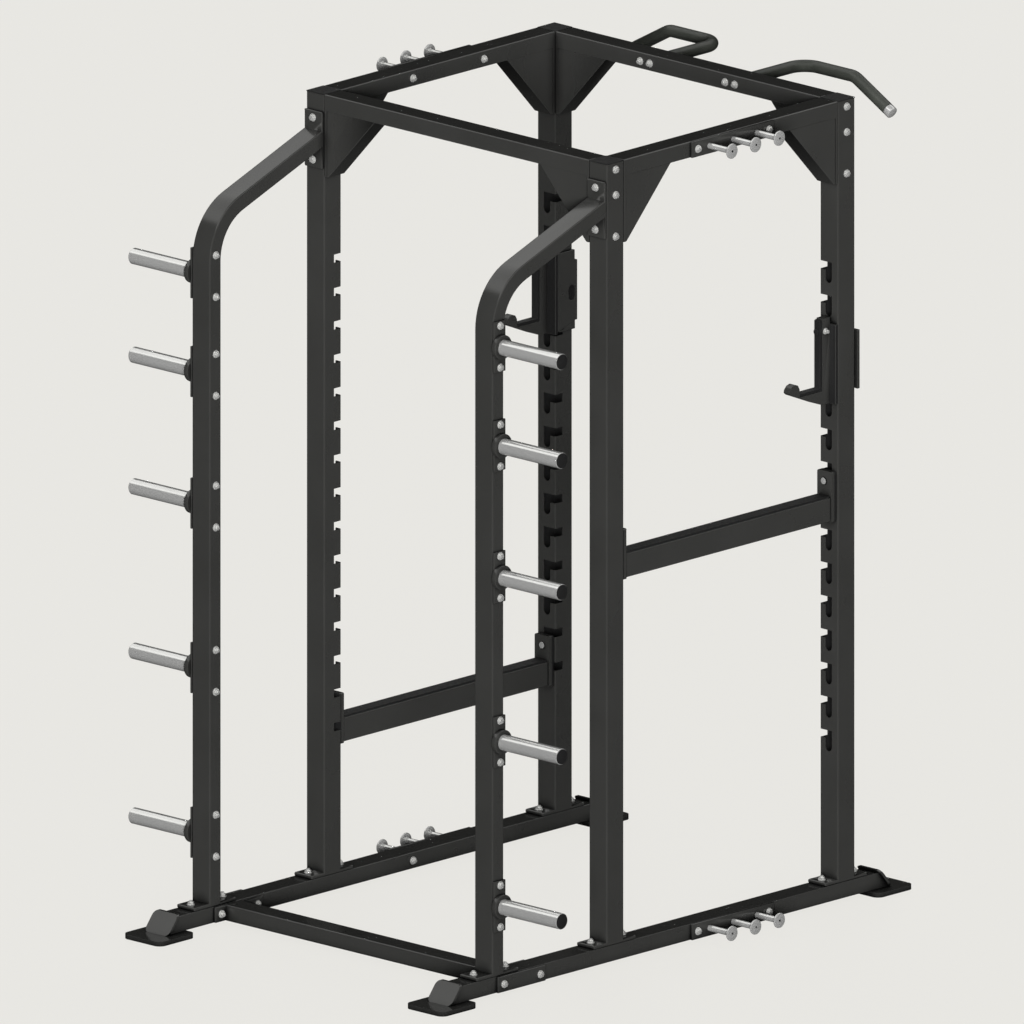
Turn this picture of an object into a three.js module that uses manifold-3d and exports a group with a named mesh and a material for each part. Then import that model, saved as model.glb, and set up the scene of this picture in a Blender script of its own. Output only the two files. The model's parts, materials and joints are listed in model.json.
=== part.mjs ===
// A power cage: two base rails, four slotted uprights tied together at the top, two bent storage
// uprights with plate pegs, lift-out safety bars and J-hooks, band pegs and two pull-up handles.
// Millimetres. x runs across the cage, y along it from the storage end to the pull-up end, and z up.
// While it is built, y is 0 midway between the near and the far uprights, and z is 0 on the floor.
import * as THREE from "three";
import { mergeVertices } from "three/addons/utils/BufferGeometryUtils.js";
import Module from "manifold-3d";

const wasm = await Module();
wasm.setup();

// Frame
const height = 2520;
const pitchX = 1183;
const pitchY = 1015;
const tube = 75;
const flat = 50;
const wall = 3;
const plateThick = 10;
const gap = 0.3;
const boltHole = 6.5;

// Base
const footSize = 160;
const footCorner = 25;
const footThick = 15;
const slopeWidth = 100;
const slopeRun = 48;
const slopeRise = 60;
const slopeThick = 8;
const slopeCorner = 16;
const slopeOut = 14.5;
const nearFootReach = 723.5;
const farFootReach = 175;
const flangeThick = 12;
const flangeReach = 92.5;
const flangeBolt = 69;
const crossReach = 444;
const crossFlangeMiddle = 420;
const crossFlangeHalf = 105;
const crossFlangeBolt = 79.5;

// Slots down the uprights: a sideways mouth with a leg that drops from its closed end
const slotCount = 15;
const slotPitch = 105;
const slotTop = 2008.5;
const mouthHeight = 26;
const mouthAcross = 49.4;
const mouthAlong = 32;
const legWidth = 27.8;
const legDrop = 39.2;

// Top frame
const gussetLeg = 209;
const gussetTip = 15;
const gussetInset = 2;
const crossBoltHeights = [2497, 2417, 2287];
const sideBoltHeights = [2443, 2311];
const capPlate = 3;
const capPlug = 12;

// Storage uprights and their plate pegs
const storageReach = 515;
const armSlope = THREE.MathUtils.degToRad(20);
const armRadius = 175;
const armEndHeight = 2378.5;
const armFlange = [2285, 2465];
const pegHeights = [287, 804, 1320, 1733, 2043];
const pegBracket = { wide: 50, tall: 160, thick: 8, bolt: 65.5 };
const collar = { radius: 38, length: 15.5 };
const sleeve = { radius: 25, wall: 3, length: 244 };

// Safety bars and J-hooks
const pinRadius = 12;
const pinReach = 20;
const barWidth = 50;
const barDepth = 75;
const barPlate = { wide: 60, tall: 160, thick: 20 };
const barPinDrop = 32;
const stripThick = 6;
const barTubeRise = 4;
const stripScrewInset = 100;
const barSlots = { right: 6, left: 13 };
const hookSlots = [2, 3];
const hookWidth = 25;
const linerThick = 10;
const hookFlange = 10;
const hookClear = 0.8;
const hookZ = { foot: 1570, seat: 1614, top: 1841 };
const hookFlangeTop = 1820;
const hookWebZ = [1575, 1823];
const hookTabZ = [1602, 1790];
const hookFarFlangeZ = [1605, 1790];
const windowFromUpright = 23;
const windowRadius = 13.5;
const windowEnds = [1680, 1702];
const postThick = 32;
const seatLength = 97;
const noseRun = 62;
const noseRise = 13;

// Band pegs and pull-up handles
const bandPlate = { long: 360, thick: 10, bolt: 156 };
const bandPeg = { radius: 9.5, head: 23.5, headThick: 6, spacing: 104, reach: 106 };
const handleX = 175;
const handleZ = 2490;
const handleRadius = 16;
const gripRadius = 19;
const gripReach = 290;
const handleBend = 60;
const handleElbow = 388;
const handleTip = 546;
const handleSlope = THREE.MathUtils.degToRad(29);
const handleFlange = { wide: 76, tall: 40, thick: 8 };
const handleTrim = 6;
const gripTrim = 24;
const gripSetback = 20;

// Derived places
const halfX = pitchX / 2;
const halfY = pitchY / 2;
const half = tube / 2;
const inner = halfX - half;
const outer = halfX + half;
const nearY = -halfY;
const baseTop = footThick + flat;
const railBottom = height - flat;
const legX = inner + mouthAcross - legWidth / 2;
const pinHeight = (slot) => slotTop - mouthHeight - legDrop + pinRadius + 3 * gap - slotPitch * slot;

const paint = new THREE.MeshStandardMaterial({ color: 0x3a3a39, roughness: 0.5, metalness: 0.2 });
const chrome = new THREE.MeshStandardMaterial({ color: 0xd0d2d4, roughness: 0.12, metalness: 1 });
const plastic = new THREE.MeshStandardMaterial({ color: 0x141414, roughness: 0.6, metalness: 0 });
const rubber = new THREE.MeshStandardMaterial({ color: 0x32342f, roughness: 0.75, metalness: 0 });

// ---- Solids ----

function solid(geometry) {
  const bare = geometry.index ? geometry.toNonIndexed() : geometry.clone();
  bare.deleteAttribute("normal");
  bare.deleteAttribute("uv");
  const merged = mergeVertices(bare, 1e-3);
  return new wasm.Manifold(
    new wasm.Mesh({
      numProp: 3,
      vertProperties: merged.attributes.position.array,
      triVerts: new Uint32Array(merged.index.array),
    }),
  );
}

const middle = ([low, high]) => (low + high) / 2;
const around = (centre, reach) => [centre - reach, centre + reach];

function box(x, y, z) {
  const shape = new THREE.BoxGeometry(x[1] - x[0], y[1] - y[0], z[1] - z[0]);
  return solid(shape.translate(middle(x), middle(y), middle(z)));
}

// A round bar along one axis; at gives its place on the two other axes, in the order x, y, z.
function rod(axis, radius, at, span, faces = 16) {
  const shape = new THREE.CylinderGeometry(radius, radius, span[1] - span[0], faces);
  shape.translate(0, middle(span), 0);
  if (axis === "x") shape.rotateZ(-Math.PI / 2).translate(0, at[0], at[1]);
  if (axis === "y") shape.translate(at[0], 0, at[1]);
  if (axis === "z") shape.rotateX(Math.PI / 2).translate(at[0], at[1], 0);
  return solid(shape);
}

// An outline given in the two other axes, in the order x, y, z, drawn out along one axis.
function prism(axis, outline, span, curveSegments = 6) {
  const shape = new THREE.ExtrudeGeometry(outline, {
    depth: span[1] - span[0],
    bevelEnabled: false,
    curveSegments,
  });
  if (axis === "x") {
    const turn = new THREE.Matrix4().makeBasis(
      new THREE.Vector3(0, 1, 0),
      new THREE.Vector3(0, 0, 1),
      new THREE.Vector3(1, 0, 0),
    );
    shape.applyMatrix4(turn).translate(span[0], 0, 0);
  }
  if (axis === "y") shape.rotateX(Math.PI / 2).translate(0, span[1], 0);
  if (axis === "z") shape.translate(0, 0, span[0]);
  return solid(shape);
}

const polygon = (...points) => new THREE.Shape(points.map(([a, b]) => new THREE.Vector2(a, b)));

function roundedRectangle(a, b, corner) {
  const outline = new THREE.Shape();
  outline.moveTo(a[0] + corner, b[0]);
  outline.lineTo(a[1] - corner, b[0]);
  outline.absarc(a[1] - corner, b[0] + corner, corner, -Math.PI / 2, 0, false);
  outline.lineTo(a[1], b[1] - corner);
  outline.absarc(a[1] - corner, b[1] - corner, corner, 0, Math.PI / 2, false);
  outline.lineTo(a[0] + corner, b[1]);
  outline.absarc(a[0] + corner, b[1] - corner, corner, Math.PI / 2, Math.PI, false);
  outline.lineTo(a[0], b[0] + corner);
  outline.absarc(a[0] + corner, b[0] + corner, corner, Math.PI, Math.PI * 1.5, false);
  return outline;
}

const join = (...bodies) => bodies.reduce((sum, body) => sum.add(body));
const cut = (body, ...tools) => tools.reduce((rest, tool) => rest.subtract(tool), body);

function mesh(name, body, material) {
  const data = body.getMesh();
  const geometry = new THREE.BufferGeometry();
  geometry.setAttribute("position", new THREE.BufferAttribute(data.vertProperties, 3));
  geometry.setIndex(new THREE.BufferAttribute(data.triVerts, 1));
  geometry.computeVertexNormals();
  const made = new THREE.Mesh(geometry, material);
  made.name = name;
  return made;
}

// ---- Base ----

// Rail ends are cut to the slope of the plates that close them.
function baseRail() {
  const plateEdge = (slopeThick * Math.hypot(slopeRun, slopeRise)) / slopeRise;
  const slopeAt = (rise) => (slopeRun * rise) / slopeRise;
  const nearEnd = nearY - nearFootReach - slopeOut;
  const farEnd = halfY + farFootReach + slopeOut;
  const inPlate = plateEdge / 2;
  const railEnds = (rise) => [nearEnd + inPlate + slopeAt(rise), farEnd - inPlate - slopeAt(rise)];
  const profile = (inset) => {
    const [low, high] = [railEnds(inset), railEnds(flat - inset)];
    return polygon(
      [low[0] + inset * 2, footThick + inset],
      [low[1] - inset * 2, footThick + inset],
      [high[1] - inset * 2, baseTop - inset],
      [high[0] + inset * 2, baseTop - inset],
    );
  };
  const slopePlate = (end, sign) => {
    const bottom = end;
    const top = end - sign * slopeAt(slopeRise);
    const thick = -sign * plateEdge;
    const side = polygon(
      [bottom, footThick],
      [top, footThick + slopeRise],
      [top + thick, footThick + slopeRise],
      [bottom + thick, footThick],
    );
    const front = roundedRectangle(
      around(halfX, slopeWidth / 2),
      [footThick, footThick + slopeRise],
      slopeCorner,
    );
    const reach = [Math.min(bottom, top) - slopeWidth, Math.max(bottom, top) + slopeWidth];
    return prism("x", side, around(halfX, slopeWidth / 2)).intersect(prism("y", front, reach));
  };
  const body = cut(
    prism("x", profile(0), around(halfX, half)),
    prism("x", profile(wall), around(halfX, half - wall)),
  );
  const bolts = [nearY - storageReach, nearY, halfY].flatMap((y) => [y - flangeBolt, y + flangeBolt]);
  const holes = bolts.map((y) => rod("z", boltHole, [halfX, y], [0, baseTop + 1], 6));
  return cut(join(body, slopePlate(nearEnd, -1), slopePlate(farEnd, 1)), ...holes);
}

function footPlate(y) {
  const outline = roundedRectangle(around(halfX, footSize / 2), around(y, footSize / 2), footCorner);
  return prism("z", outline, [0, footThick]);
}

function footFlange(y) {
  const plate = box(around(halfX, half), around(y, flangeReach), [baseTop, baseTop + flangeThick]);
  const hole = (side) =>
    rod("z", boltHole, [halfX, y + side * flangeBolt], [baseTop - 1, baseTop + flangeThick + 1], 6);
  return cut(plate, hole(-1), hole(1));
}

function crossMember() {
  const y = around(nearY - crossReach, half);
  const shrunk = [y[0] + wall, y[1] - wall];
  const end = inner - plateThick;
  const flangeSpan = around(nearY - crossFlangeMiddle, crossFlangeHalf);
  const flange = (side) => {
    const x = [side * end, side * inner].sort((a, b) => a - b);
    const holes = [-1, 1].map((way) =>
      rod("x", boltHole, [nearY - crossFlangeMiddle + way * crossFlangeBolt, 40], [x[0] - 1, x[1] + 1], 6),
    );
    return cut(box(x, flangeSpan, [footThick, baseTop]), ...holes);
  };
  const beam = cut(
    box(around(0, end), y, [footThick, baseTop]),
    box(around(0, end), shrunk, [footThick + wall, baseTop - wall]),
    rod("z", boltHole, [0, middle(y)], [footThick - 1, footThick + wall + 1], 6),
  );
  return join(beam, flange(-1), flange(1));
}

function backingPlate() {
  const y = around(nearY - crossFlangeMiddle, crossFlangeHalf);
  return box([outer, outer + plateThick], y, [footThick, baseTop]);
}

// ---- Uprights ----

// The slots break the corner that faces the middle of the cage.
function slotCutter(slot) {
  const corner = nearY + half;
  const top = slotTop - slotPitch * slot;
  const shelf = top - mouthHeight;
  const bottom = shelf - legDrop;
  const mouth = box([inner - 1, inner + mouthAcross], [corner - mouthAlong, corner + 1], [shelf, top]);
  const leg = new THREE.Shape();
  leg.moveTo(legX - legWidth / 2, shelf + 1);
  leg.lineTo(legX - legWidth / 2, bottom + legWidth / 2);
  leg.absarc(legX, bottom + legWidth / 2, legWidth / 2, Math.PI, Math.PI * 2, false);
  leg.lineTo(legX + legWidth / 2, shelf + 1);
  return join(mouth, prism("y", leg, [corner - wall - 1, corner + 1], 4));
}

function upright() {
  const z = [baseTop + flangeThick, height - capPlate];
  const shell = cut(
    box(around(halfX, half), around(nearY, half), z),
    box(around(halfX, half - wall), around(nearY, half - wall), [z[0], z[1] + 1]),
  );
  const slots = Array.from({ length: slotCount }, (_, slot) => slotCutter(slot));
  return cut(join(shell, footFlange(nearY)), ...slots);
}

function uprightCap() {
  const plate = box(around(halfX, half), around(nearY, half), [height - capPlate + gap, height]);
  const grip = half - wall - 0.5;
  const plug = box(around(halfX, grip), around(nearY, grip), [height - capPlate - capPlug, height - 1]);
  return join(plate, plug);
}

// ---- Top frame ----

// A rail along one axis with an end plate and a folded box gusset under each end.
function topRail(axis, reach, place, boltHeights, otherHoles) {
  const across = around(place, half);
  const thin = around(place, half - wall);
  const bar = (span, side, z) => (axis === "x" ? box(span, side, z) : box(side, span, z));
  const bore = (at, span) => rod(axis, boltHole, at, span, 6);
  const gusset = (sign) => {
    const at = (distance) => sign * (reach - distance);
    const outline = polygon(
      [at(0), railBottom + wall],
      [at(gussetLeg), railBottom + wall],
      [at(gussetLeg), railBottom],
      [at(gussetTip), railBottom - gussetLeg],
      [at(0), railBottom - gussetLeg],
    );
    const hollow = polygon(
      [at(plateThick), railBottom],
      [at(gussetLeg - 2 * wall), railBottom],
      [at(gussetTip + wall), railBottom - gussetLeg + 3 * wall],
      [at(plateThick), railBottom - gussetLeg + 3 * wall],
    );
    const sideways = axis === "x" ? "y" : "x";
    const faces = around(place, half - gussetInset);
    const folded = around(place, half - gussetInset - wall);
    const plateSpan = [at(0), at(plateThick)].sort((a, b) => a - b);
    const endPlate = bar(plateSpan, across, [railBottom - gussetLeg, height]);
    return [join(prism(sideways, outline, faces), endPlate), prism(sideways, hollow, folded)];
  };
  const [near, nearHollow] = gusset(-1);
  const [far, farHollow] = gusset(1);
  const cavity = bar(around(0, reach - plateThick), thin, [railBottom + wall, height - wall]);
  const ends = boltHeights.flatMap((z) =>
    [-1, 1].map((sign) => {
      const face = [sign * (reach - plateThick - 1), sign * (reach + 1)].sort((a, b) => a - b);
      return bore([place, z], face);
    }),
  );
  const body = join(bar(around(0, reach), across, [railBottom, height]), near, far);
  return cut(body, cavity, nearHollow, farHollow, ...ends, ...otherHoles);
}

function crossRail() {
  const vent = rod("z", boltHole, [0, nearY], [railBottom - 1, railBottom + wall + 1], 6);
  return topRail("x", inner, nearY, crossBoltHeights, [vent]);
}

function sideRail() {
  const holes = [-1, 1].map((sign) =>
    rod("x", boltHole, [sign * bandPlate.bolt, height - flat / 2], [inner - 1, outer + 1], 6),
  );
  return topRail("y", halfY - half, halfX, sideBoltHeights, holes);
}

// ---- Storage uprights ----

// A tube that stands on the base rail, bends forward and rises to the near upright.
function storageUpright() {
  const y = nearY - storageReach;
  const endY = nearY - half - plateThick;
  const bendCentre = [y + armRadius, 0];
  const corner = armEndHeight - (endY - y) * Math.tan(armSlope);
  const turn = Math.PI / 2 - armSlope;
  bendCentre[1] = corner - armRadius * Math.tan(turn / 2);
  const profile = (inset, floor, reach) => {
    const far = armRadius + flat / 2 - inset;
    const close = armRadius - flat / 2 + inset;
    const endHeight = (radius) => armEndHeight + ((radius - armRadius) / Math.cos(armSlope));
    const rise = reach * Math.tan(armSlope);
    const outline = new THREE.Shape();
    outline.moveTo(y - flat / 2 + inset, floor);
    outline.lineTo(y - flat / 2 + inset, bendCentre[1]);
    outline.absarc(bendCentre[0], bendCentre[1], far, Math.PI, Math.PI - turn, true);
    outline.lineTo(endY + reach, endHeight(far) + rise);
    outline.lineTo(endY + reach, endHeight(close) + rise);
    outline.absarc(bendCentre[0], bendCentre[1], close, Math.PI - turn, Math.PI, false);
    outline.lineTo(y + flat / 2 - inset, floor);
    return outline;
  };
  const floor = baseTop + flangeThick;
  const flange = box(around(halfX, half), [endY, nearY - half], armFlange);
  const flangeDepth = [endY - 1, nearY - half + 1];
  const flangeHoles = sideBoltHeights.map((z) => rod("y", boltHole, [halfX, z], flangeDepth, 6));
  const bracketHoles = pegHeights.flatMap((z) =>
    [-1, 1].map((sign) => {
      const at = [y, z + sign * pegBracket.bolt];
      return rod("x", boltHole, at, [outer - wall - 1, outer + 1], 6);
    }),
  );
  const shell = cut(
    prism("x", profile(0, floor, plateThick / 2), around(halfX, half), 6),
    prism("x", profile(wall, floor, 0), around(halfX, half - wall), 6),
  );
  return cut(join(shell, footFlange(y), flange), ...flangeHoles, ...bracketHoles);
}

function plateBracket(z) {
  const y = nearY - storageReach;
  const outline = roundedRectangle(around(y, pegBracket.wide / 2), around(z, pegBracket.tall / 2), 12);
  const plate = prism("x", outline, [outer, outer + pegBracket.thick], 3);
  const face = outer + pegBracket.thick;
  return join(plate, rod("x", collar.radius, [y, z], [face - 1, face + collar.length], 16));
}

// A chromed sleeve, open at the collar and closed at its tip.
function plateSleeve(z) {
  const start = outer + pegBracket.thick + collar.length + gap;
  const bore = sleeve.radius - sleeve.wall;
  const profile = [
    [bore, 0],
    [sleeve.radius, 0],
    [sleeve.radius, sleeve.length - 2],
    [sleeve.radius - 2, sleeve.length],
    [0, sleeve.length],
    [0, sleeve.length - sleeve.wall],
    [bore, sleeve.length - sleeve.wall],
    [bore, 0],
  ];
  const points = profile.map(([radius, along]) => new THREE.Vector2(radius, along));
  const shape = new THREE.LatheGeometry(points, 14).rotateZ(-Math.PI / 2);
  return solid(shape.translate(start, nearY - storageReach, z));
}

// ---- Safety bars ----

function safetyBar(slot) {
  const pinZ = pinHeight(slot);
  const plateTop = pinZ + barPinDrop;
  const plateZ = [plateTop - barPlate.tall, plateTop];
  const tubeZ = [plateZ[0] + barTubeRise, plateZ[0] + barTubeRise + barDepth];
  const face = halfY - half - gap;
  const reach = face - barPlate.thick;
  const plate = (sign) => {
    const y = [sign * reach, sign * face].sort((a, b) => a - b);
    const pinY = [sign * (reach - 3), sign * (face + gap + pinReach)].sort((a, b) => a - b);
    const outline = roundedRectangle(around(halfX, barPlate.wide / 2), plateZ, 6);
    return join(prism("y", outline, y, 2), rod("y", pinRadius, [legX, pinZ], pinY));
  };
  const beam = cut(
    box(around(halfX, barWidth / 2), around(0, reach), tubeZ),
    box(around(halfX, barWidth / 2 - wall), around(0, reach), [tubeZ[0] + wall, tubeZ[1] - wall]),
    ...screwPlaces().map((y) => rod("z", 3, [halfX, y], [tubeZ[1] - wall - 1, tubeZ[1] + 1], 6)),
  );
  return join(beam, plate(-1), plate(1));
}

const screwPlaces = () => [-1, 0, 1].map((side) => side * (halfY - stripScrewInset));

function safetyStrip(slot) {
  const plateFoot = pinHeight(slot) + barPinDrop - barPlate.tall;
  const floor = plateFoot + barTubeRise + barDepth + gap;
  const reach = halfY - half - gap - barPlate.thick - 2;
  return box(around(halfX, barWidth / 2 - 2), around(0, reach), [floor, floor + stripThick]);
}

// ---- J-hooks on the far uprights ----

const hookFace = halfY - half - gap;
const hookBack = hookFace - hookFlange;
const hookPost = hookBack - postThick;
const hookLip = hookPost - seatLength;

function hookBracket() {
  const webX = [inner - hookClear - hookFlange, inner - hookClear];
  const farFace = halfY + half + hookClear;
  const nearFlange = box([webX[0], outer], [hookBack, hookFace], [hookZ.foot, hookFlangeTop]);
  const farFlange = box([webX[0], outer + plateThick], [farFace, farFace + hookFlange], hookFarFlangeZ);
  const web = join(
    box(webX, [hookBack, halfY + half], hookWebZ),
    box(webX, [halfY, farFace + hookFlange], hookTabZ),
  );
  const windowY = halfY + windowFromUpright;
  const windowX = [webX[0] - 1, webX[1] + 1];
  const window = join(
    ...windowEnds.map((z) => rod("x", windowRadius, [windowY, z], windowX, 12)),
    box(windowX, around(windowY, windowRadius), windowEnds),
  );
  const outline = polygon(
    [hookBack + 1, hookZ.top],
    [hookPost, hookZ.top],
    [hookPost, hookZ.seat],
    [hookLip, hookZ.seat],
    [hookLip - 2, hookZ.seat + 26],
    [hookLip - 9, hookZ.seat + 38],
    [hookLip - 22, hookZ.seat + 43],
    [hookLip - 36, hookZ.seat + 39],
    [hookLip - 45, hookZ.seat + 29],
    [hookLip - 47, hookZ.seat + 19],
    [hookLip - 40, hookZ.seat + 12],
    [hookLip + noseRun, hookZ.foot + noseRise],
    [hookPost, hookZ.foot],
    [hookBack + 1, hookZ.foot],
  );
  const hook = prism("x", outline, around(halfX, hookWidth / 2));
  const pins = hookSlots.map((slot) =>
    rod("y", pinRadius, [legX, pinHeight(slot)], [hookBack + 1, hookFace + gap + pinReach]),
  );
  return join(nearFlange, cut(web, window), farFlange, hook, ...pins);
}

function hookLiner() {
  const back = hookPost - gap;
  const floor = hookZ.seat + gap;
  const outline = polygon(
    [back, hookZ.top - 6],
    [back - linerThick, hookZ.top - 6],
    [back - linerThick, floor + linerThick],
    [hookLip + gap, floor + linerThick],
    [hookLip + gap, floor],
    [back, floor],
  );
  return prism("x", outline, around(halfX, hookWidth / 2));
}

// ---- Band pegs ----

function bandPegs(z) {
  const plate = box([outer, outer + bandPlate.thick], around(0, bandPlate.long / 2), around(z, flat / 2));
  const tip = outer + bandPeg.reach;
  const pegs = [-1, 0, 1].map((place) => {
    const at = [place * bandPeg.spacing, z];
    return join(
      rod("x", bandPeg.radius, at, [outer + 1, tip], 10),
      rod("x", bandPeg.head, at, [tip - bandPeg.headThick, tip], 14),
    );
  });
  return join(plate, ...pegs);
}

// ---- Pull-up handles ----

// A path of given stations and headings, which the sweep visits one by one.
class Route extends THREE.Curve {
  constructor(stations) {
    super();
    this.stations = stations;
  }
  station(t) {
    return this.stations[Math.round(t * (this.stations.length - 1))];
  }
  getPoint(t) {
    return this.station(t).at.clone();
  }
  getTangent(t) {
    return this.station(t).heading.clone();
  }
  getUtoTmapping(u) {
    return u;
  }
}

// The handle leaves the rail along y, turns outward through a right angle and then dips.
function handleStations(start, trim) {
  const stations = [];
  const add = (x, y, z, hx, hy, hz) =>
    stations.push({ at: new THREE.Vector3(x, y, z), heading: new THREE.Vector3(hx, hy, hz).normalize() });
  const far = halfY + gripReach;
  add(handleX, start, handleZ, 0, 1, 0);
  const steps = 6;
  for (let step = 0; step <= steps; step += 1) {
    const turn = (Math.PI / 2) * (step / steps);
    const x = handleX + handleBend * (1 - Math.cos(turn));
    add(x, far - handleBend * (1 - Math.sin(turn)), handleZ, Math.sin(turn), Math.cos(turn), 0);
  }
  const dipStart = handleElbow - handleBend * Math.tan(handleSlope / 2);
  const dips = 3;
  for (let step = 0; step <= dips; step += 1) {
    const dip = handleSlope * (step / dips);
    const x = dipStart + handleBend * Math.sin(dip);
    add(x, far, handleZ - handleBend * (1 - Math.cos(dip)), Math.cos(dip), 0, -Math.sin(dip));
  }
  const tip = handleTip - trim * Math.cos(handleSlope);
  const drop = (tip - handleElbow) * Math.tan(handleSlope);
  add(tip, far, handleZ - drop, Math.cos(handleSlope), 0, -Math.sin(handleSlope));
  return stations;
}

function sweptTube(radius, bore, start, trim) {
  const faces = 12;
  const circle = (reach) =>
    Array.from({ length: faces }, (_, face) => {
      const turn = (2 * Math.PI * face) / faces;
      return new THREE.Vector2(reach * Math.cos(turn), reach * Math.sin(turn));
    });
  const ring = new THREE.Shape(circle(radius));
  ring.holes.push(new THREE.Path(circle(bore)));
  const stations = handleStations(start, trim);
  const extrudePath = new Route(stations);
  const steps = stations.length - 1;
  return solid(new THREE.ExtrudeGeometry(ring, { steps, bevelEnabled: false, extrudePath }));
}

function pullUpHandle() {
  const face = halfY + half;
  const { wide, tall, thick } = handleFlange;
  const flange = box(around(handleX, wide / 2), [face, face + thick], around(handleZ, tall / 2));
  return join(flange, sweptTube(handleRadius, handleRadius - wall, face + thick / 2, handleTrim));
}

function pullUpGrip() {
  return sweptTube(gripRadius, handleRadius + gap, halfY + half + gripSetback, gripTrim);
}

// ---- Assembly ----

const cage = new THREE.Group();
const cageMiddle = new THREE.Group();
const nearEdge = nearY - nearFootReach - footSize / 2;
const farEdge = halfY + gripReach + gripRadius;
cageMiddle.position.y = -(nearEdge + farEdge) / 2;
cage.add(cageMiddle);

function corner(signX, signY) {
  const group = new THREE.Group();
  group.scale.set(signX, signY, 1);
  cageMiddle.add(group);
  return group;
}

const centre = corner(1, 1);
centre.add(mesh("low_cross_member", crossMember(), paint));
centre.add(mesh("top_cross_rail_near", crossRail(), paint));
corner(1, -1).add(mesh("top_cross_rail_far", crossRail(), paint));

for (const [side, signX] of [["right", 1], ["left", -1]]) {
  const lengthwise = corner(signX, 1);
  lengthwise.add(mesh(`base_rail_${side}`, baseRail(), paint));
  lengthwise.add(mesh(`foot_plate_near_${side}`, footPlate(nearY - nearFootReach), paint));
  lengthwise.add(mesh(`foot_plate_far_${side}`, footPlate(halfY + farFootReach), paint));
  lengthwise.add(mesh(`cross_backing_plate_${side}`, backingPlate(), paint));
  lengthwise.add(mesh(`top_side_rail_${side}`, sideRail(), paint));
  lengthwise.add(mesh(`storage_upright_${side}`, storageUpright(), paint));
  lengthwise.add(mesh(`safety_bar_${side}`, safetyBar(barSlots[side]), paint));
  lengthwise.add(mesh(`safety_strip_${side}`, safetyStrip(barSlots[side]), plastic));
  lengthwise.add(mesh(`j_hook_${side}`, hookBracket(), paint));
  lengthwise.add(mesh(`j_hook_liner_${side}`, hookLiner(), plastic));
  lengthwise.add(mesh(`band_pegs_top_${side}`, bandPegs(height - flat / 2), chrome));
  lengthwise.add(mesh(`band_pegs_base_${side}`, bandPegs(baseTop - flat / 2), chrome));
  lengthwise.add(mesh(`pull_up_handle_${side}`, pullUpHandle(), chrome));
  lengthwise.add(mesh(`pull_up_grip_${side}`, pullUpGrip(), rubber));
  pegHeights.forEach((z, index) => {
    lengthwise.add(mesh(`plate_peg_bracket_${side}_${index + 1}`, plateBracket(z), paint));
    lengthwise.add(mesh(`plate_peg_sleeve_${side}_${index + 1}`, plateSleeve(z), chrome));
  });
  for (const [end, signY] of [["near", 1], ["far", -1]]) {
    const quarter = corner(signX, signY);
    quarter.add(mesh(`upright_${end}_${side}`, upright(), paint));
    quarter.add(mesh(`upright_cap_${end}_${side}`, uprightCap(), plastic));
  }
}

export default cage;
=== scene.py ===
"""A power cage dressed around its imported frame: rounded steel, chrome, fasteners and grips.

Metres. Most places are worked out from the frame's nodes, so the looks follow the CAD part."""

import json
import math

import bmesh
import bpy
from mathutils import Matrix, Vector


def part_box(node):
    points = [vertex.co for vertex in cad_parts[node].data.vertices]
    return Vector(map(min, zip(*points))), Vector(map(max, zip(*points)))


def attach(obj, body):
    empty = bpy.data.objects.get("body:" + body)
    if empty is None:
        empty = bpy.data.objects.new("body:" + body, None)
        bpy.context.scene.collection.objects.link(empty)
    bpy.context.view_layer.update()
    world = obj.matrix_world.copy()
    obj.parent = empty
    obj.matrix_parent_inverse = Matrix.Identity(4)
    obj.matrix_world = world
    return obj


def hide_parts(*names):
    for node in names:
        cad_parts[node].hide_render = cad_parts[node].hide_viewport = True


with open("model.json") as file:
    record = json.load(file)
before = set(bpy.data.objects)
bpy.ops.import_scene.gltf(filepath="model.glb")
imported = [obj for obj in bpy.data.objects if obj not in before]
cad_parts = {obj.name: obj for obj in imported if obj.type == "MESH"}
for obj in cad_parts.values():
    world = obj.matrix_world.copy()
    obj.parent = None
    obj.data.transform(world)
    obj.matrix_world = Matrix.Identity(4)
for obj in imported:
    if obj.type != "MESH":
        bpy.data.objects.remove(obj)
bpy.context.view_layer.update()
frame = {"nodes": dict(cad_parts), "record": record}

SIDES = {"right": 1, "left": -1}
ENDS = ("near", "far")
X, Y, Z = Vector((1, 0, 0)), Vector((0, 1, 0)), Vector((0, 0, 1))
PEGS = 5

# ---- Camera ----

AZIMUTH = math.radians(43.62)
ELEVATION = math.radians(15.085)
PICTURE_WIDTH = 3.103
CAMERA_REACH = 8.0
# The middle of the picture looks at this point.
CAMERA_TARGET = Vector((0.5759, -0.6587, 1.490))


def toward(azimuth, elevation):
    """A direction seen from the cage; azimuth is counted from -Y toward +X."""
    level = math.cos(elevation)
    return Vector((math.sin(azimuth) * level, -math.cos(azimuth) * level, math.sin(elevation)))


def make_camera():
    away = toward(AZIMUTH, ELEVATION)
    lens = bpy.data.cameras.new("camera")
    lens.type = "ORTHO"
    lens.ortho_scale = PICTURE_WIDTH
    lens.clip_end = 200
    camera = bpy.data.objects.new("camera", lens)
    camera.location = CAMERA_TARGET + away * CAMERA_REACH
    camera.rotation_euler = away.to_track_quat("Z", "Y").to_euler()
    bpy.context.scene.collection.objects.link(camera)
    bpy.context.scene.camera = camera


# ---- Materials ----

def material(name, colour, rough, metal=0.0):
    made = bpy.data.materials.new(name)
    made.use_nodes = True
    shader = made.node_tree.nodes["Principled BSDF"]
    shader.inputs["Base Color"].default_value = (*colour, 1)
    shader.inputs["Roughness"].default_value = rough
    shader.inputs["Metallic"].default_value = metal
    return made, made.node_tree, shader


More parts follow.
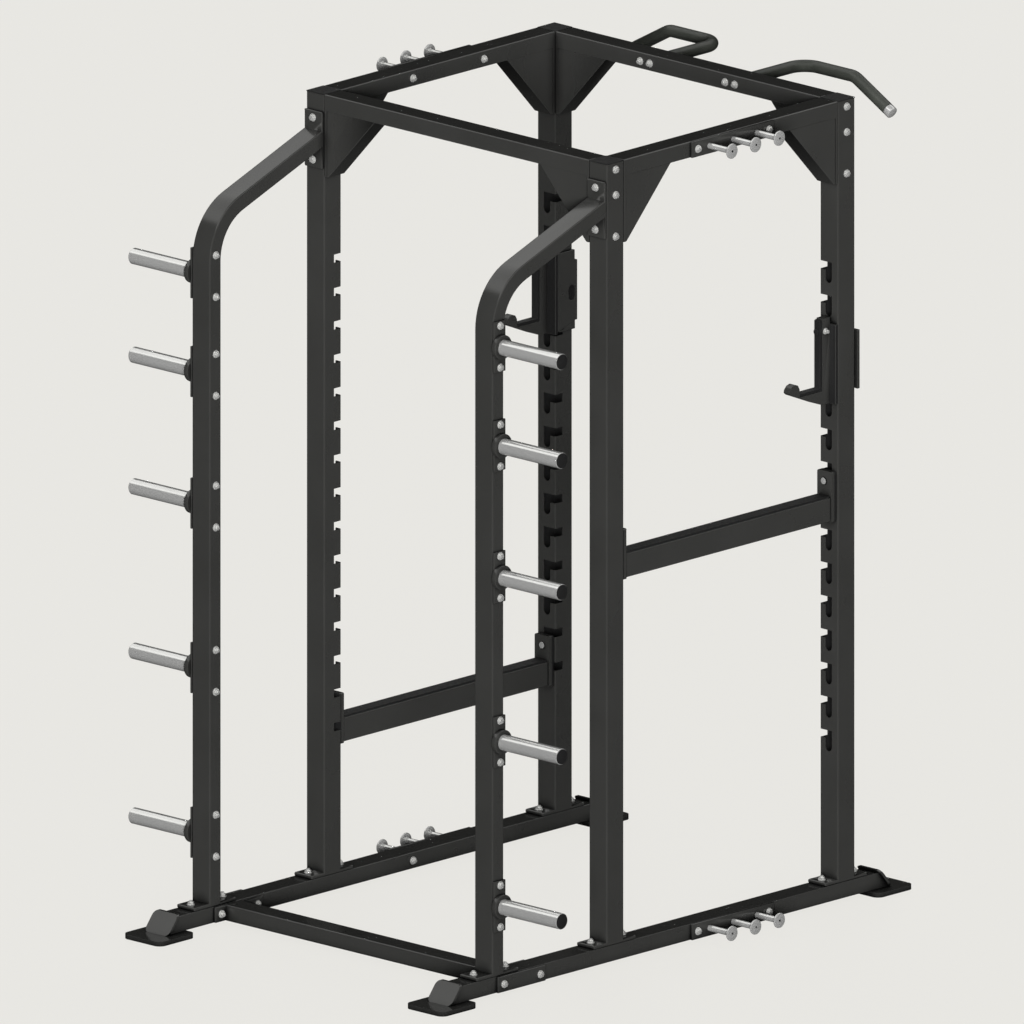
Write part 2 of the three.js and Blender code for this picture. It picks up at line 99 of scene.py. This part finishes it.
def noise(tree, scale, detail=3.0):
    places = tree.nodes.new("ShaderNodeTexCoord")
    texture = tree.nodes.new("ShaderNodeTexNoise")
    texture.inputs["Scale"].default_value = scale
    texture.inputs["Detail"].default_value = detail
    tree.links.new(places.outputs["Object"], texture.inputs["Vector"])
    return texture.outputs["Fac"]


def add_bump(tree, shader, height, strength, distance):
    bump = tree.nodes.new("ShaderNodeBump")
    bump.inputs["Strength"].default_value = strength
    bump.inputs["Distance"].default_value = distance
    tree.links.new(height, bump.inputs["Height"])
    tree.links.new(bump.outputs["Normal"], shader.inputs["Normal"])


def vary(tree, shader, socket, factor, low, high):
    ramp = tree.nodes.new("ShaderNodeMapRange")
    ramp.inputs["From Min"].default_value = 0.35
    ramp.inputs["From Max"].default_value = 0.65
    ramp.inputs["To Min"].default_value = low
    ramp.inputs["To Max"].default_value = high
    tree.links.new(factor, ramp.inputs["Value"])
    tree.links.new(ramp.outputs["Result"], shader.inputs[socket])


def tint(tree, shader, factor, dark, light):
    mix = tree.nodes.new("ShaderNodeMix")
    mix.data_type = "RGBA"
    mix.inputs[6].default_value = (*dark, 1)
    mix.inputs[7].default_value = (*light, 1)
    tree.links.new(factor, mix.inputs[0])
    tree.links.new(mix.outputs[2], shader.inputs["Base Color"])


def paint_corner_shade(tree, shader, reach):
    """Paints shade into a skin where neighbouring faces come within reach, as in joints and folds; the
    colour goes near black and the coat fades there.
    """
    open_sky = tree.nodes.new("ShaderNodeAmbientOcclusion")
    open_sky.samples = 8
    open_sky.inputs["Distance"].default_value = reach
    factor = tree.nodes.new("ShaderNodeMapRange")
    factor.inputs["From Min"].default_value = 0.4
    factor.inputs["From Max"].default_value = 0.85
    tree.links.new(open_sky.outputs["AO"], factor.inputs["Value"])
    mix = tree.nodes.new("ShaderNodeMix")
    mix.data_type = "RGBA"
    # The near-black colour of the painted shade.
    mix.inputs[6].default_value = (0.002, 0.002, 0.002, 1)
    tree.links.new(shader.inputs["Base Color"].links[0].from_socket, mix.inputs[7])
    tree.links.new(factor.outputs["Result"], mix.inputs[0])
    tree.links.new(mix.outputs[2], shader.inputs["Base Color"])
    tree.links.new(factor.outputs["Result"], shader.inputs["Coat Weight"])


def powder_coat():
    """Charcoal powder coat: a fine orange peel under a semi-gloss skin, with shade painted into its joints
    and folds.
    """
    made, tree, shader = material("powder_coat", (0.020, 0.020, 0.019), 0.38)
    tint(tree, shader, noise(tree, 6.0), (0.017, 0.017, 0.016), (0.023, 0.023, 0.022))
    vary(tree, shader, "Roughness", noise(tree, 40.0), 0.33, 0.43)
    add_bump(tree, shader, noise(tree, 900.0, 2.0), 0.12, 0.0005)
    shader.inputs["Specular IOR Level"].default_value = 0
    shader.inputs["Coat Roughness"].default_value = 0.16
    # Painted shade in the joints and folds of the coat.
    paint_corner_shade(tree, shader, 0.06)
    return made


def chrome_plate():
    made, tree, shader = material("chrome_plate", (0.60, 0.60, 0.59), 0.18, 0.75)
    vary(tree, shader, "Roughness", noise(tree, 5.0), 0.16, 0.22)
    return made


def zinc_plate():
    made, tree, shader = material("zinc_plate", (0.74, 0.74, 0.72), 0.24, 0.8)
    vary(tree, shader, "Roughness", noise(tree, 300.0), 0.18, 0.34)
    add_bump(tree, shader, noise(tree, 1500.0), 0.1, 0.0004)
    return made


# Black moulded plastic for caps, liners, strips and plugs; the same black also stands as painted shade
# inside the uprights and in the J-hooks' windows.
def moulded_plastic_and_shade():
    made, tree, shader = material("moulded_plastic_and_shade", (0.008, 0.008, 0.008), 0.5)
    vary(tree, shader, "Roughness", noise(tree, 80.0), 0.44, 0.58)
    add_bump(tree, shader, noise(tree, 1400.0), 0.2, 0.0004)
    return made


def grip_rubber():
    """Dark grip skin with a pebbled texture."""
    made, tree, shader = material("grip_rubber", (0.026, 0.028, 0.024), 0.36)
    tint(tree, shader, noise(tree, 25.0), (0.020, 0.022, 0.019), (0.034, 0.036, 0.031))
    places = tree.nodes.new("ShaderNodeTexCoord")
    pebbles = tree.nodes.new("ShaderNodeTexVoronoi")
    pebbles.inputs["Scale"].default_value = 420
    tree.links.new(places.outputs["Object"], pebbles.inputs["Vector"])
    add_bump(tree, shader, pebbles.outputs["Distance"], 0.35, 0.0008)
    return made


PAINT = powder_coat()
CHROME = chrome_plate()
ZINC = zinc_plate()
PLASTIC_AND_SHADE = moulded_plastic_and_shade()
GRIP = grip_rubber()

# ---- Pieces ----


def finish_piece(name, bm, skins, body="root", replaced=None, crease=35, turn_out=True):
    """Makes an object of a bmesh, shades it smooth between creases and puts it on its body."""
    if turn_out:
        bmesh.ops.recalc_face_normals(bm, faces=bm.faces)
    mesh = bpy.data.meshes.new(name)
    bm.to_mesh(mesh)
    bm.free()
    for skin in skins:
        mesh.materials.append(skin)
    mesh.shade_smooth()
    mesh.set_sharp_from_angle(angle=math.radians(crease))
    made = bpy.data.objects.new(name, mesh)
    bpy.context.scene.collection.objects.link(made)
    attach(made, body)
    if replaced:
        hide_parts(replaced)
    return made


def turned(bm, profile, at, along, faces=48):
    """Adds a solid of revolution; profile holds (radius, distance along the axis) and ends on the axis."""
    turn = along.to_track_quat("Z", "Y").to_matrix()
    angles = [2 * math.pi * i / faces for i in range(faces)]
    rings = []
    for radius, distance in profile:
        if radius == 0:
            rings.append([bm.verts.new(at + turn @ Vector((0, 0, distance)))])
            continue
        places = [Vector((radius * math.cos(a), radius * math.sin(a), distance)) for a in angles]
        rings.append([bm.verts.new(at + turn @ place) for place in places])
    for low, high in zip(rings, rings[1:]):
        for i in range(faces):
            j = i + 1
            ring = [low[i % len(low)], low[j % len(low)], high[j % len(high)], high[i % len(high)]]
            bm.faces.new(list(dict.fromkeys(ring)))


def rounded_disc(radius, start, end, edge):
    """A disc's profile with rounded rims."""
    steps = [math.radians(d) for d in (0, 30, 60, 90)]
    low = [(radius - edge + edge * math.sin(a), start + edge - edge * math.cos(a)) for a in steps]
    high = [(radius - edge + edge * math.cos(a), end - edge + edge * math.sin(a)) for a in steps]
    return [(0, start), *low, *high, (0, end)]


def fastener(bm, at, out, size=1.0, stud=False):
    """A washer with a chamfered hex head, or a nut with its thread end, pointing out."""
    turned(bm, rounded_disc(0.0125 * size, 0, 0.0022 * size, 0.0006), at, out, 32)
    head = [(0, 0.002), (0.0102, 0.002), (0.0102, 0.0075), (0.0092, 0.0092), (0.0072, 0.0098), (0, 0.0098)]
    turned(bm, [(r * size, d * size) for r, d in head], at, out, 6)
    if stud:
        thread = [(0, 0.009), (0.0058, 0.009), (0.0058, 0.0125), (0.0048, 0.0135), (0, 0.0135)]
        turned(bm, thread, at, out, 24)


def fasteners(name, places, body="root", size=1.0, stud=False):
    bm = bmesh.new()
    for at, out in places:
        fastener(bm, at, out, size, stud)
    finish_piece(name, bm, [ZINC], body, crease=25)


def block(bm, low, high, edge):
    """A box with rounded edges."""
    made = bmesh.ops.create_cube(bm, size=1)
    size = high - low
    turn = Matrix.Translation((low + high) / 2) @ Matrix.Diagonal((*size, 1))
    bmesh.ops.transform(bm, matrix=turn, verts=made["verts"])
    edges = list({e for v in made["verts"] for e in v.link_edges})
    bmesh.ops.bevel(bm, geom=edges, offset=edge, segments=2, profile=0.5, affect="EDGES")


NARROW_FACE = 0.0075


def breadth(e):
    """The narrower of the two faces that meet at an edge, as a width."""
    return min(2 * face.calc_area() / face.calc_perimeter() for face in e.link_faces)


STEEP = math.radians(31)
TOP_BAND = 0.001


def rounded_copy(node, edge, skins=None, paint_face=None, splits=(), top_edge=None):
    """Copies a node of sharp-edged steel, softens its outer corners and replaces the node."""
    skins = skins or [PAINT]
    bm = bmesh.new()
    bm.from_mesh(frame["nodes"][node].data)
    bmesh.ops.remove_doubles(bm, verts=bm.verts, dist=1e-5)
    for at, normal in splits:
        geometry = list(bm.verts) + list(bm.edges) + list(bm.faces)
        bmesh.ops.bisect_plane(bm, geom=geometry, plane_co=at, plane_no=normal)
    if paint_face:
        for face in bm.faces:
            face.material_index = paint_face(face.calc_center_median())
    bmesh.ops.dissolve_limit(bm, angle_limit=math.radians(1), verts=bm.verts, edges=bm.edges,
                             delimit={"MATERIAL"})
    top = max(v.co.z for v in bm.verts) - TOP_BAND
    for floor, width in ((top, top_edge or edge), (-1, edge)):
        outer_edges = [e for e in bm.edges if len(e.link_faces) == 2 and e.is_convex
                       and e.calc_face_angle() > STEEP and breadth(e) > NARROW_FACE
                       and min(v.co.z for v in e.verts) > floor]
        bmesh.ops.bevel(bm, geom=outer_edges, offset=width, segments=3, profile=0.5, affect="EDGES",
                        clamp_overlap=False)
    made = finish_piece(node + "_steel", bm, skins, frame_body[node], node, turn_out=False)
    made.modifiers.new("flat_faces", "WEIGHTED_NORMAL").keep_sharp = True
    return made


bodies = frame["record"]["behaviour"]["bodies"]
frame_body = {node: body for body, nodes in bodies.items() for node in nodes}


def corners(node):
    low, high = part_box(node)
    return Vector(low), Vector(high)


def centre(node):
    low, high = corners(node)
    return (low + high) / 2


# ---- Steel frame ----

TUBE_EDGE = 0.0045
HALF_TUBE = 0.0375
PLATE_EDGE = 0.0025
RAIL_EDGE = 0.0019


def tube_inside_shade(end, side):
    """Gives the inside walls of an upright the black skin as painted shade, against its powder-coated
    outside.
    """
    middle = centre(f"upright_cap_{end}_{side}")
    reach = 0.0352

    def skin(at):
        inside = abs(at.x - middle.x) < reach and abs(at.y - middle.y) < reach
        return 1 if inside and at.z > 0.08 else 0
    return skin


def frame_steel():
    rounded_copy("low_cross_member", TUBE_EDGE)
    for end in ENDS:
        rounded_copy(f"top_cross_rail_{end}", RAIL_EDGE, top_edge=TUBE_EDGE)
    for side in SIDES:
        rounded_copy(f"base_rail_{side}", PLATE_EDGE)
        rounded_copy(f"top_side_rail_{side}", RAIL_EDGE, top_edge=TUBE_EDGE)
        rounded_copy(f"storage_upright_{side}", TUBE_EDGE)
        rounded_copy(f"cross_backing_plate_{side}", PLATE_EDGE)
        for end in ENDS:
            rounded_copy(f"foot_plate_{end}_{side}", 0.004)
            # The inside walls of each upright are black as painted shade.
            rounded_copy(f"upright_{end}_{side}", TUBE_EDGE, [PAINT, PLASTIC_AND_SHADE], tube_inside_shade(end, side))
            rounded_copy(f"upright_cap_{end}_{side}", 0.001, [PLASTIC_AND_SHADE])


# ---- Plate storage ----

BRACKET_THICK = 0.008
BRACKET_BOLT = 0.0655
BRACKET_HALF = Vector((0, 0.025, 0.08))
COLLAR_RADIUS = 0.038
SLEEVE_BORE = 0.0215
PLUG_RADIUS = 0.0236


def inner_x(node, sign):
    """The side of a node that faces the middle of the cage."""
    low, high = corners(node)
    return low.x if sign > 0 else high.x


def outer_x(node, sign):
    return inner_x(node, -sign)


def plate_pegs(side, sign):
    for index in range(1, PEGS + 1):
        name = f"{side}_{index}"
        low, high = corners(f"plate_peg_sleeve_{name}")
        middle = (low + high) / 2
        inner = inner_x(f"plate_peg_bracket_{name}", sign)
        start = inner_x(f"plate_peg_sleeve_{name}", sign)
        root = Vector((inner, middle.y, middle.z))
        sleeve_root = Vector((start, middle.y, middle.z))
        out = X * sign

        bm = bmesh.new()
        ends = sorted((inner, inner + sign * BRACKET_THICK))
        plate_low = Vector((ends[0], *(middle - BRACKET_HALF)[1:]))
        plate_high = Vector((ends[1], *(middle + BRACKET_HALF)[1:]))
        block(bm, plate_low, plate_high, 0.002)
        collar_end = abs(start - inner) - 0.0005
        collar = rounded_disc(COLLAR_RADIUS, BRACKET_THICK - 0.001, collar_end, 0.0025)
        turned(bm, collar, root, out, 64)
        finish_piece(f"plate_peg_bracket_{name}_steel", bm, [PAINT], "root", f"plate_peg_bracket_{name}")

        length = high.x - low.x
        bm = bmesh.new()
        profile = [(0.021, 0), (0.0246, 0), (0.025, 0.0005), (0.025, length - 0.0022),
                   (0.0244, length - 0.0016), (SLEEVE_BORE, length - 0.0014), (SLEEVE_BORE, length - 0.005),
                   (0, length - 0.005)]
        turned(bm, profile, sleeve_root, out, 64)
        finish_piece(f"plate_peg_sleeve_{name}_chrome", bm, [CHROME], "root", f"plate_peg_sleeve_{name}")

        bm = bmesh.new()
        plug = [(0, length - 0.004), (0.0212, length - 0.004), (0.0212, length - 0.0012),
                (PLUG_RADIUS, length - 0.0012), (0.0234, length - 0.0002), (0.0228, length), (0, length)]
        turned(bm, plug, sleeve_root, out, 48)
        finish_piece(f"plate_peg_plug_{name}", bm, [PLASTIC_AND_SHADE])

        face = Vector((inner + sign * BRACKET_THICK, middle.y, middle.z))
        bolts = [(face + Z * way * BRACKET_BOLT, out) for way in (1, -1)]
        fasteners(f"plate_peg_bolts_{name}", bolts)
        back = Vector((inner_x(f"storage_upright_{side}", sign), middle.y, middle.z))
        nuts = [(back + Z * way * BRACKET_BOLT, -out) for way in (1, -1)]
        fasteners(f"plate_peg_nuts_{name}", nuts, stud=True)


# ---- Band pegs ----

BAND_SPACING = 0.104
BAND_BOLT = 0.156
BAND_THICK = 0.010
BAND_HALF_TALL = 0.025


def band_pegs(level, side, sign):
    node = f"band_pegs_{level}_{side}"
    low, high = corners(node)
    middle = (low + high) / 2
    face_x = inner_x(node, sign)
    out = X * sign
    bm = bmesh.new()
    ends = sorted((face_x, face_x + sign * BAND_THICK))
    plate_low = Vector((ends[0], low.y, middle.z - BAND_HALF_TALL))
    plate_high = Vector((ends[1], high.y, middle.z + BAND_HALF_TALL))
    block(bm, plate_low, plate_high, 0.002)
    finish_piece(f"band_peg_plate_{level}_{side}", bm, [PAINT], "root", node)
    reach = high.x - low.x
    bm = bmesh.new()
    for place in (-1, 0, 1):
        root = Vector((face_x, middle.y + place * BAND_SPACING, middle.z))
        shaft = [(0, BAND_THICK - 0.001), (0.0095, BAND_THICK - 0.001), (0.0095, reach - 0.008),
                 (0.0115, reach - 0.0055), (0, reach - 0.0055)]
        turned(bm, shaft, root, out, 40)
        turned(bm, rounded_disc(0.0235, reach - 0.006, reach, 0.0022), root, out, 48)
        socket = [(0, reach - 0.001), (0.004, reach - 0.001), (0.004, reach), (0, reach)]
        turned(bm, socket, root, out, 6)
    finish_piece(f"band_peg_pins_{level}_{side}", bm, [CHROME])
    bolt_x = face_x + sign * BAND_THICK
    nut_x = face_x - sign * 2 * HALF_TUBE
    for name, x, way, stud in (("bolts", bolt_x, out, False), ("nuts", nut_x, -out, True)):
        places = [(Vector((x, middle.y + place * BAND_BOLT, middle.z)), way) for place in (1, -1)]
        fasteners(f"band_peg_{name}_{level}_{side}", places, stud=stud)


# ---- Fasteners of the frame ----

CROSS_BOLTS = (2.497, 2.417, 2.287)
SIDE_BOLTS = (2.443, 2.311)
FOOT_BOLT = 0.069
FLANGE_TOP = 0.077
STORAGE_FLANGE = 0.010
CROSS_MEMBER_BOLT = 0.0795
CROSS_PLATE = 0.010
PULL_UP_NUT = Vector((0.178, 0, 2.493))
PULL_UP_NUT_SPACING = 0.020


def frame_fasteners(side, sign):
    out = X * sign
    for end in ENDS:
        mid = centre(f"upright_cap_{end}_{side}")
        outer = outer_x(f"upright_{end}_{side}", sign)
        bolts = [(Vector((outer, mid.y, z)), out) for z in CROSS_BOLTS]
        fasteners(f"cross_rail_bolts_{end}_{side}", bolts)
        cap_low, cap_high = corners(f"upright_cap_{end}_{side}")
        face = cap_low.y - STORAGE_FLANGE if end == "near" else cap_high.y
        away = -Y if end == "near" else Y
        fasteners(f"side_rail_bolts_{end}_{side}", [(Vector((mid.x, face, z)), away) for z in SIDE_BOLTS])
        foot_bolts(f"foot_bolts_{end}_{side}", mid.x, mid.y)
    storage_y = centre(f"plate_peg_sleeve_{side}_1").y
    foot_bolts(f"foot_bolts_storage_{side}", centre(f"upright_cap_near_{side}").x, storage_y)
    mid = centre(f"cross_backing_plate_{side}")
    outer = outer_x(f"cross_backing_plate_{side}", sign)
    inner = outer - sign * 2 * (HALF_TUBE + CROSS_PLATE)
    for name, x, way, stud in (("bolts", outer, out, False), ("nuts", inner, -out, True)):
        places = [(Vector((x, mid.y + place * CROSS_MEMBER_BOLT, mid.z)), way) for place in (1, -1)]
        fasteners(f"cross_member_{name}_{side}", places, stud=stud)
    rail_low, _ = corners("top_cross_rail_far")
    nut_x = [sign * PULL_UP_NUT.x + way * PULL_UP_NUT_SPACING for way in (1, -1)]
    places = [(Vector((x, rail_low.y, PULL_UP_NUT.z)), -Y) for x in nut_x]
    fasteners(f"pull_up_bolts_{side}", places, stud=True)


def foot_bolts(name, x, y):
    places = [(Vector((x, y + way * FOOT_BOLT, FLANGE_TOP)), Z) for way in (1, -1)]
    fasteners(name, places, stud=True)


# ---- Safety bars and J-hooks ----

PIN_X = 0.5895
PIN_DROP = 0.032
PIN_REACH = 0.0126
PIN_INSIDE = 0.03
END_PLATE = 0.0203
END_PLATE_CORE = (0.012, 0.0205)
LINER = 0.008
STRIP_SCREW_INSET = 0.100
HOOK_EDGE = 0.0015
HOOK_FLANGE = (0.0105, 0.0008)
WEB_MIDDLE = 0.0058
WINDOW_OUT = 0.023
WINDOW_REACH = 0.015
WINDOW_Z = (1.66, 1.73)
# Depths, reach and heights of a thin black sheet behind the web's window, painted shade seen through it.
SHADE_SHEET_DEPTH = (0.0007, 0.0003)
SHADE_SHEET_Y = (-0.030, 0.0365)
SHADE_SHEET_Z = (1.60, 1.79)
HOOK_BOLT_DROP = 0.035


def safety_bar(side):
    node = f"safety_bar_{side}"
    pin_z = corners(node)[1].z - PIN_DROP
    pin_x = SIDES[side] * PIN_X
    near_face = corners(f"upright_cap_near_{side}")[1].y
    far_face = corners(f"upright_cap_far_{side}")[0].y
    core_start, core_end = END_PLATE_CORE

    def skin(at):
        on_pin = math.hypot(at.x - pin_x, at.z - pin_z) < PIN_REACH
        if on_pin and not near_face + core_end < at.y < far_face - core_end:
            outside = at.y < near_face or at.y > far_face
            between = near_face + core_start < at.y < far_face - core_start
            return 2 if outside or between else 1
        return 1 if at.y < near_face + LINER or at.y > far_face - LINER else 0

    splits = [(Vector((0, near_face + LINER, 0)), Y), (Vector((0, far_face - LINER, 0)), Y)]
    rounded_copy(node, PLATE_EDGE, [PAINT, PLASTIC_AND_SHADE, CHROME], skin, splits)
    bm = bmesh.new()
    for y, out in ((near_face + END_PLATE, Y), (far_face - END_PLATE, -Y)):
        turned(bm, rounded_disc(0.0105, 0, 0.0035, 0.0015), Vector((pin_x, y, pin_z)), out, 40)
    finish_piece(f"safety_bar_rivets_{side}", bm, [CHROME], node)
    rounded_copy(f"safety_strip_{side}", 0.0015, [PLASTIC_AND_SHADE])
    strip_low, strip_high = corners(f"safety_strip_{side}")
    bm = bmesh.new()
    uprights = [centre(f"upright_cap_{end}_{side}").y for end in ENDS]
    middle = sum(uprights) / 2
    reach = (uprights[1] - uprights[0]) / 2 - STRIP_SCREW_INSET
    for place in (-1, 0, 1):
        at = Vector(((strip_low.x + strip_high.x) / 2, middle + place * reach, strip_high.z - 0.0004))
        turned(bm, [(0, 0), (0.0042, 0), (0.0036, 0.001), (0.0015, 0.0016), (0, 0.0016)], at, Z, 24)
    finish_piece(f"safety_strip_screws_{side}", bm, [PLASTIC_AND_SHADE], node)


def j_hook(side, sign):
    node = f"j_hook_{side}"
    cap_mid = centre(f"upright_cap_far_{side}")
    face = corners(f"upright_cap_far_{side}")[0].y
    inner_face = cap_mid.x - sign * HALF_TUBE
    web_x = inner_face - sign * WEB_MIDDLE

    def skin(at):
        if face < at.y < face + PIN_INSIDE and abs(at.x - sign * PIN_X) < PIN_REACH:
            return 1
        in_flange = face - HOOK_FLANGE[0] < at.y < face - HOOK_FLANGE[1]
        # The bore walls of the web's window take the black skin as painted shade.
        in_shaded_window = (abs(at.x - web_x) < 0.003 and abs(at.y - cap_mid.y - WINDOW_OUT) < WINDOW_REACH
                     and WINDOW_Z[0] < at.z < WINDOW_Z[1])
        return 2 if in_flange or in_shaded_window else 0

    splits = [(Vector((0, face, 0)), Y)]
    rounded_copy(node, HOOK_EDGE, [PAINT, CHROME, PLASTIC_AND_SHADE], skin, splits)
    rounded_copy(f"j_hook_liner_{side}", HOOK_EDGE, [PLASTIC_AND_SHADE])
    # A thin black sheet between the web and the upright stands as painted shade seen through the web's
    # window.
    ends = sorted(inner_face - sign * depth for depth in SHADE_SHEET_DEPTH)
    bm = bmesh.new()
    sheet_low = Vector((ends[0], cap_mid.y + SHADE_SHEET_Y[0], SHADE_SHEET_Z[0]))
    sheet_high = Vector((ends[1], cap_mid.y + SHADE_SHEET_Y[1], SHADE_SHEET_Z[1]))
    block(bm, sheet_low, sheet_high, 0.0001)
    finish_piece(f"j_hook_window_shade_sheet_{side}", bm, [PLASTIC_AND_SHADE], node)
    low, high = corners(f"j_hook_liner_{side}")
    x = (low.x + high.x) / 2
    bolt_z = high.z - HOOK_BOLT_DROP
    post = Vector((x + sign * 0.0125, high.y + 0.013, bolt_z))
    fasteners(f"j_hook_nut_{side}", [(post, X * sign)], node, 0.8, stud=True)
    bm = bmesh.new()
    turned(bm, rounded_disc(0.010, 0, 0.006, 0.0015), Vector((x, high.y - 0.010, bolt_z)), -Y, 40)
    finish_piece(f"j_hook_collar_{side}", bm, [PLASTIC_AND_SHADE], node)


# ---- Pull-up handles ----

HANDLE_X = 0.175
HANDLE_Z = 2.490
GRIP_RADIUS = 0.019
HANDLE_RADIUS = 0.016
BEND = 0.060
ELBOW_X = 0.388
TIP_X = 0.546
SLOPE = math.radians(29)
FLANGE_HALF = Vector((0.038, 0, 0.020))
FLANGE_THICK = 0.008
TUBE_START = 0.006
TUBE_TRIM = 0.006
GRIP_START = 0.020
GRIP_TRIM = 0.024
END_RING = 0.0225


def handle_path(sign, start, far, trim):
    """Points and headings along a handle, from the rail to its tip."""
    path = [(Vector((sign * HANDLE_X, start, HANDLE_Z)), Y)]
    for step in range(17):
        turn = math.pi / 2 * step / 16
        x = HANDLE_X + BEND * (1 - math.cos(turn))
        at = Vector((sign * x, far - BEND * (1 - math.sin(turn)), HANDLE_Z))
        path.append((at, Vector((sign * math.sin(turn), math.cos(turn), 0))))
    first = ELBOW_X - BEND * math.tan(SLOPE / 2)
    for step in range(9):
        dip = SLOPE * step / 8
        at = Vector((sign * (first + BEND * math.sin(dip)), far, HANDLE_Z - BEND * (1 - math.cos(dip))))
        path.append((at, Vector((sign * math.cos(dip), 0, -math.sin(dip)))))
    tip = TIP_X - trim * math.cos(SLOPE)
    down = Vector((sign * math.cos(SLOPE), 0, -math.sin(SLOPE)))
    path.append((Vector((sign * tip, far, HANDLE_Z - (tip - ELBOW_X) * math.tan(SLOPE))), down))
    return path


def swept(bm, path, radius, faces=48):
    side = path[0][1].cross(Z).normalized()
    rings = []
    for at, heading in path:
        side = (side - heading * side.dot(heading)).normalized()
        up = heading.cross(side)
        angles = [2 * math.pi * i / faces for i in range(faces)]
        rings.append([bm.verts.new(at + radius * (math.cos(a) * side + math.sin(a) * up)) for a in angles])
    for low, high in zip(rings, rings[1:]):
        for i in range(faces):
            j = (i + 1) % faces
            bm.faces.new((low[i], low[j], high[j], high[i]))
    bm.faces.new(rings[0])
    bm.faces.new(rings[-1])


def pull_up(side, sign):
    handle = f"pull_up_handle_{side}"
    rail_face = corners(handle)[0].y
    far = corners(f"pull_up_grip_{side}")[1].y - GRIP_RADIUS
    bm = bmesh.new()
    at = Vector((sign * HANDLE_X, rail_face, HANDLE_Z))
    block(bm, at - FLANGE_HALF, at + FLANGE_HALF + Y * FLANGE_THICK, 0.0015)
    finish_piece(f"pull_up_flange_{side}", bm, [PAINT], "root", handle)
    bm = bmesh.new()
    swept(bm, handle_path(sign, rail_face + TUBE_START, far, TUBE_TRIM), HANDLE_RADIUS)
    tip, down = handle_path(sign, rail_face, far, GRIP_TRIM - 0.0005)[-1]
    turned(bm, rounded_disc(0.0189, 0, END_RING, 0.003), tip, down, 48)
    turned(bm, rounded_disc(0.0186, 0.011, 0.020, 0.002), at, Y, 48)
    finish_piece(f"pull_up_tube_{side}", bm, [CHROME])
    bm = bmesh.new()
    swept(bm, handle_path(sign, rail_face + GRIP_START, far, GRIP_TRIM), GRIP_RADIUS)
    finish_piece(f"pull_up_grip_{side}_skin", bm, [GRIP], "root", f"pull_up_grip_{side}")
    bm = bmesh.new()
    screw = [(0, END_RING - 0.0005), (0.007, END_RING - 0.0005), (0.006, END_RING + 0.0007),
             (0, END_RING + 0.0007)]
    turned(bm, screw, tip, down, 6)
    finish_piece(f"pull_up_end_screw_{side}", bm, [ZINC])


# ---- Studio ----

BACKGROUND = (0.80, 0.79, 0.755)


SUN_WIDTH = math.radians(26)
SUN_ELEVATION = math.radians(4)
SUN_POWER = 11.8
FLOOR_GLOW = 0.955


def soft_sun(name, azimuth, elevation, power):
    """A wide soft sun; azimuth is counted as the camera's is."""
    lamp = bpy.data.lights.new(name, "SUN")
    lamp.energy = power
    lamp.angle = SUN_WIDTH
    made = bpy.data.objects.new(name, lamp)
    away = toward(azimuth, elevation)
    made.rotation_euler = away.to_track_quat("Z", "Y").to_euler()
    made.visible_glossy = False
    bpy.context.scene.collection.objects.link(made)


# How bright the surroundings are, from straight down (0) to straight up (1).
DOME = ((0.0, 0.02), (0.5, 0.0), (0.785, 0.0), (0.815, 1.4), (0.86, 1.3), (0.91, 0.5), (1.0, 0.15))


def studio():
    bm = bmesh.new()
    bmesh.ops.create_grid(bm, x_segments=1, y_segments=1, size=60)
    mesh = bpy.data.meshes.new("floor")
    bm.to_mesh(mesh)
    bm.free()
    floor = bpy.data.objects.new("floor", mesh)
    floor.location.z = -0.0005
    skin, _, shader = material("floor_paper", (0.03, 0.03, 0.03), 1.0)
    shader.inputs["Emission Color"].default_value = (*BACKGROUND, 1)
    shader.inputs["Emission Strength"].default_value = FLOOR_GLOW
    floor.visible_diffuse = False
    floor.visible_glossy = False
    mesh.materials.append(skin)
    bpy.context.scene.collection.objects.link(floor)
    world = bpy.data.worlds.new("studio")
    world.use_nodes = True
    tree = world.node_tree
    places = tree.nodes.new("ShaderNodeTexCoord")
    parts = tree.nodes.new("ShaderNodeSeparateXYZ")
    ramp = tree.nodes.new("ShaderNodeValToRGB")
    steps = ramp.color_ramp.elements
    while len(steps) < len(DOME):
        steps.new(0.5)
    for step, (height, bright) in zip(steps, DOME):
        step.position = height
        step.color = (bright, bright, bright * 0.98, 1)
    level = tree.nodes.new("ShaderNodeMapRange")
    level.inputs["From Min"].default_value = -1
    tree.links.new(places.outputs["Generated"], parts.inputs["Vector"])
    tree.links.new(parts.outputs["Z"], level.inputs["Value"])
    tree.links.new(level.outputs["Result"], ramp.inputs["Fac"])
    tree.links.new(ramp.outputs["Color"], tree.nodes["Background"].inputs["Color"])
    tree.nodes["Background"].inputs["Strength"].default_value = 1.0
    bpy.context.scene.world = world
    soft_sun("front_light", AZIMUTH, SUN_ELEVATION, SUN_POWER)
    soft_sun("back_light", AZIMUTH + math.pi, SUN_ELEVATION, SUN_POWER)
    bpy.context.scene.view_settings.view_transform = "Standard"


make_camera()
frame_steel()
for side, sign in SIDES.items():
    plate_pegs(side, sign)
    for level in ("top", "base"):
        band_pegs(level, side, sign)
    frame_fasteners(side, sign)
    safety_bar(side)
    j_hook(side, sign)
    pull_up(side, sign)
studio()
